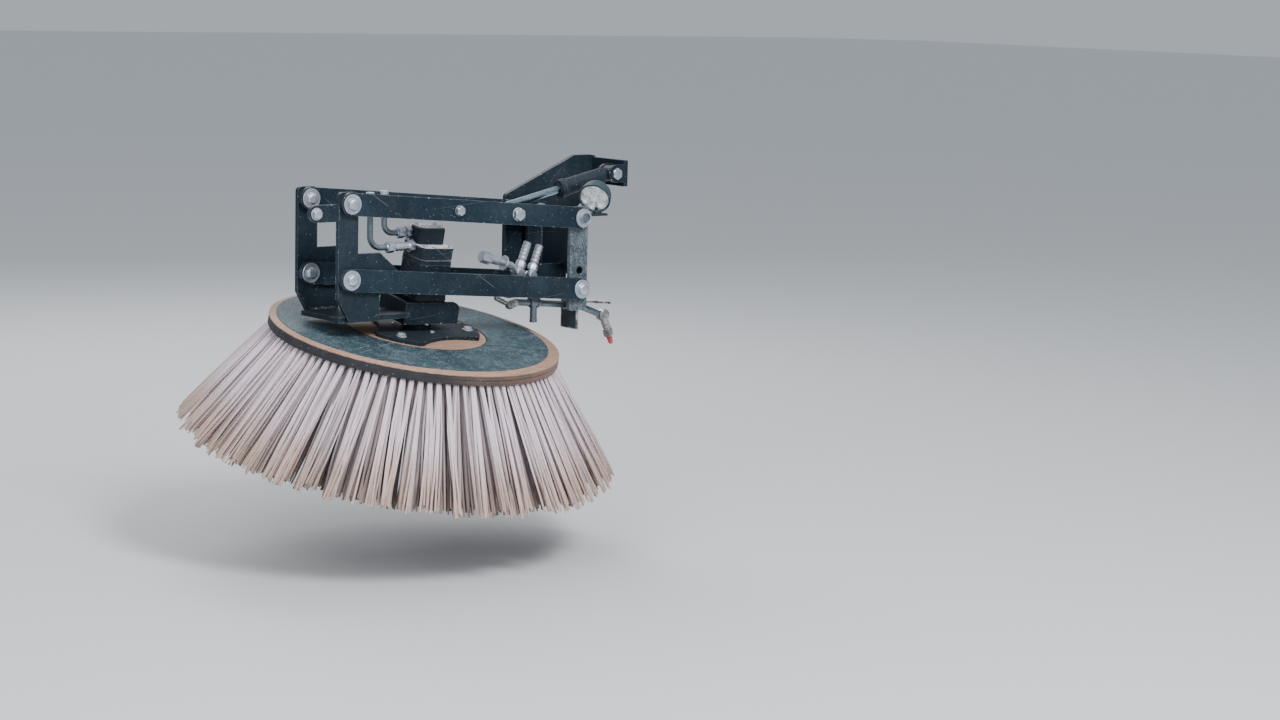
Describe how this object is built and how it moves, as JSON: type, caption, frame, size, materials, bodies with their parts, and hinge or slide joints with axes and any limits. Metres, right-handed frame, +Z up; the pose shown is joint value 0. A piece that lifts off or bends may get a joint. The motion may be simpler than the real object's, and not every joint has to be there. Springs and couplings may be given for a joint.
{
  "type": "street sweeper side brush unit",
  "caption": "Side brush of a street sweeper truck: a tufted wooden disc on a hydraulic motor, hung on a parallelogram of flat bars with a lift cylinder.",
  "frame": {"origin": "centre of the four chassis bolts, on the back face of the mounting plate", "axes": "+X to the truck's front, +Y square to the chassis face and into the truck, +Z up"},
  "size_m": [1.0075, 0.9089, 0.6717],
  "materials": {
    "frame_paint": "dark blue-grey paint, scratched and dusty",
    "post_paint": "worn dark paint under pale road dust",
    "zinc": "dull zinc plate",
    "dusty_steel": "plated steel under dust",
    "motor_paint": "black paint, dusty on its ledges",
    "hub_paint": "black paint",
    "plywood": "plywood, tan on the bevel and brown with dirt on the rim",
    "disc_skin": "grey facing, scuffed and speckled with grit",
    "bristle": "pale bristle, brown with dirt at the tips",
    "rod_chrome": "chromed rod",
    "lamp_shell": "cast shell",
    "lamp_glass": "clear lens",
    "brass": "dull brass",
    "red_plastic": "red tip"
  },
  "bodies": {
    "mount_frame": {"mount_plate": "frame_paint", "frame_web": "frame_paint", "frame_post_front": "post_paint", "frame_post_rear": "frame_paint", "frame_pivot_bolts": "zinc", "cylinder_anchor": "frame_paint", "cylinder_anchor_pin": "zinc", "lamp_bracket": "frame_paint", "lamp_housing": "lamp_shell", "lamp_lens": "lamp_glass", "spray_bracket": "frame_paint", "spray_pipe": "dusty_steel", "spray_hose_end": "brass", "spray_nozzle": "dusty_steel", "spray_nozzle_tip": "red_plastic", "hose_strip": "frame_paint", "hose_ends": "zinc", "hose_coupling": "zinc"},
    "lower_arm": {"lower_bar_front": "frame_paint", "lower_bar_rear": "frame_paint", "lower_arm_tie": "frame_paint"},
    "upper_arm": {"upper_bar_front": "frame_paint", "upper_bar_rear": "frame_paint", "upper_arm_tie": "zinc", "lift_pin": "zinc"},
    "brush_head": {"head_cheek_front": "frame_paint", "head_cheek_rear": "frame_paint", "head_pivot_bolts": "zinc", "motor_bracket": "frame_paint", "stay_lug": "frame_paint", "stay_lug_bolt": "zinc", "motor_body": "motor_paint", "motor_cover": "motor_paint", "motor_pipes": "dusty_steel", "motor_pipe_fittings": "zinc"},
    "brush": {"brush_disc": "plywood", "brush_disc_skin": "disc_skin", "hub_plate": "hub_paint", "hub_bolts": "zinc", "bristle_board": "bristle"},
    "cylinder_barrel": {"lift_cylinder_barrel": "motor_paint"},
    "cylinder_rod": {"lift_cylinder_rod": "rod_chrome"}
  },
  "joints": [
    {"name": "arm_lift", "type": "hinge", "parent": "mount_frame", "child": "lower_arm", "pos_m": [0, -0.118, -0.075], "axis": [0, -1, 0], "range_deg": [0, 17]},
    {"name": "upper_arm_pivot", "type": "hinge", "parent": "mount_frame", "child": "upper_arm", "pos_m": [0, -0.118, 0.075], "axis": [0, -1, 0], "range_deg": [-0.5, 17.5]},
    {"name": "head_pivot", "type": "hinge", "parent": "lower_arm", "child": "brush_head", "pos_m": [-0.57597, -0.118, -0.02663], "axis": [0, -1, 0], "range_deg": [-17.5, 0.5]},
    {"name": "brush_spin", "type": "hinge", "parent": "brush_head", "child": "brush", "pos_m": [-0.359, -0.105, -0.154], "axis": [0.05, -0.1734, 0.9836], "continuous": true},
    {"name": "cylinder_swing", "type": "hinge", "parent": "mount_frame", "child": "cylinder_barrel", "pos_m": [0.144, -0.105, 0.1588], "axis": [0, -1, 0], "range_deg": [-0.5, 9.14]},
    {"name": "cylinder_slide", "type": "slide", "parent": "cylinder_barrel", "child": "cylinder_rod", "axis": [-0.9766, 0, -0.2149], "range_m": [-0.0005, 0.0125]}
  ],
  "couplings": [
    {"joint": "upper_arm_pivot", "follows": "arm_lift", "ratio": 1},
    {"joint": "head_pivot", "follows": "arm_lift", "ratio": -1},
    {"joint": "cylinder_swing", "follows": "arm_lift", "ratio": 0.5084},
    {"joint": "cylinder_slide", "follows": "arm_lift", "m_per_rad": 0.03875}
  ]
}
